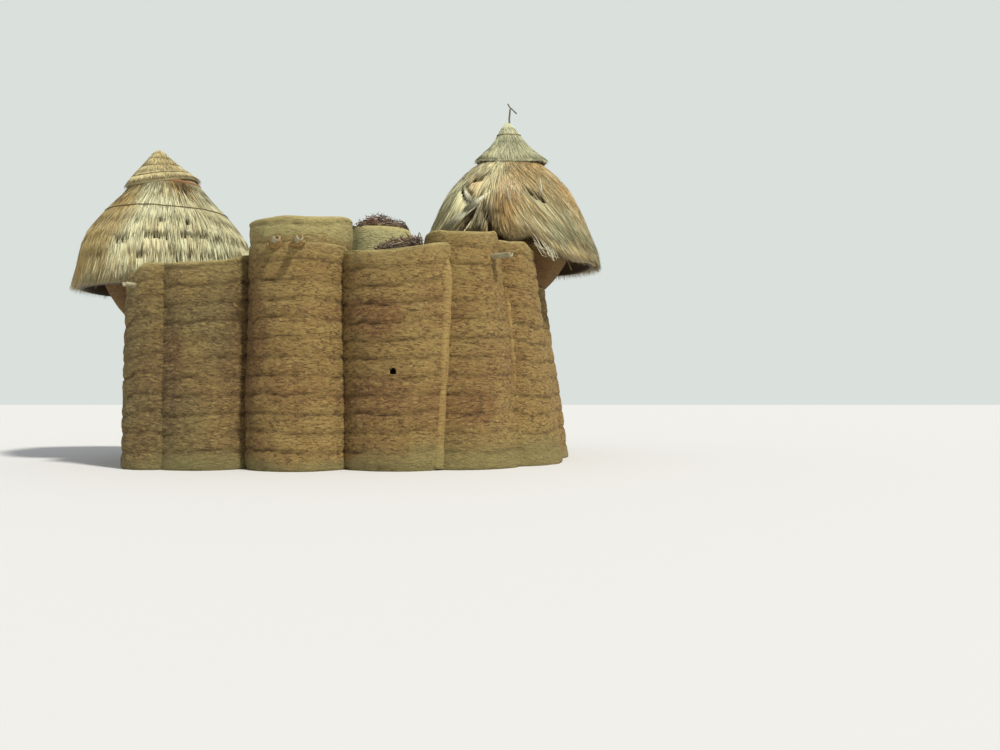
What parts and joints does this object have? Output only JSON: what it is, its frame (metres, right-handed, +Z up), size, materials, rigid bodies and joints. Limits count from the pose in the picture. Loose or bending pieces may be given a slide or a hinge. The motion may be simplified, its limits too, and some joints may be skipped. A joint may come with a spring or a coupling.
{
  "type": "tata somba house",
  "caption": "Earthen house of joined round towers and bowed curtain walls round a flat terrace, with thatched pot granaries on its towers.",
  "frame": {"origin": "middle of the overall outline, at ground level", "axes": "+Z up; -Y is out of the facade seen in the picture; +X to its right, along the house"},
  "size_m": [9.6798, 6.8559, 6.79],
  "materials": {
    "wall_earth": "rough hand-laid earth courses, matte",
    "smooth_plaster": "smooth pale earth plaster, matte",
    "granary_earth": "dark red-brown smoothed earth, matte",
    "roof_earth": "beaten earth, matte",
    "pale_thatch": "weathered pale straw in shaggy layers",
    "tan_thatch": "tan and grey long straw in shaggy layers",
    "cap_straw": "straw bound tight into a cone",
    "straw_rope": "twisted straw rope",
    "dry_branches": "dry bare branches",
    "spout_wood": "hollowed half log, weathered",
    "weathered_timber": "unsawn weathered timber"
  },
  "bodies": {
    "root": {"door_lintel": "weathered_timber", "east_finial": "weathered_timber", "east_granary_pot": "granary_earth", "east_granary_tower": "wall_earth", "east_rafters": "weathered_timber", "east_roof_ring": "straw_rope", "east_roof_ties": "straw_rope", "east_thatch_cap": "cap_straw", "east_thatch_skirt": "tan_thatch", "east_wall": "wall_earth", "entrance_wall_east": "wall_earth", "entrance_wall_over_door": "wall_earth", "entrance_wall_west": "wall_earth", "forked_posts": "weathered_timber", "front_wall": "wall_earth", "great_tower": "wall_earth", "great_tower_parapet": "smooth_plaster", "great_tower_roof": "roof_earth", "great_tower_spouts": "spout_wood", "middle_granary_pot": "granary_earth", "pot_branches": "dry_branches", "rear_east_tower": "wall_earth", "rear_east_wall": "wall_earth", "rear_tower_roofs": "roof_earth", "rear_west_tower": "wall_earth", "rear_west_wall": "wall_earth", "terrace_beams": "weathered_timber", "terrace_floor": "roof_earth", "terrace_joists": "weathered_timber", "terrace_wood_pile": "dry_branches", "turret": "wall_earth", "turret_roof": "roof_earth", "turret_spout": "spout_wood", "west_granary_pot": "granary_earth", "west_granary_tower": "wall_earth", "west_rafters": "weathered_timber", "west_roof_ring": "straw_rope", "west_roof_ties": "straw_rope", "west_side_wall": "wall_earth", "west_thatch_cap": "cap_straw", "west_thatch_skirt": "pale_thatch", "west_tower": "wall_earth", "west_tower_roof": "roof_earth", "west_tower_spout": "spout_wood", "west_wall": "wall_earth"}
  },
  "joints": []
}
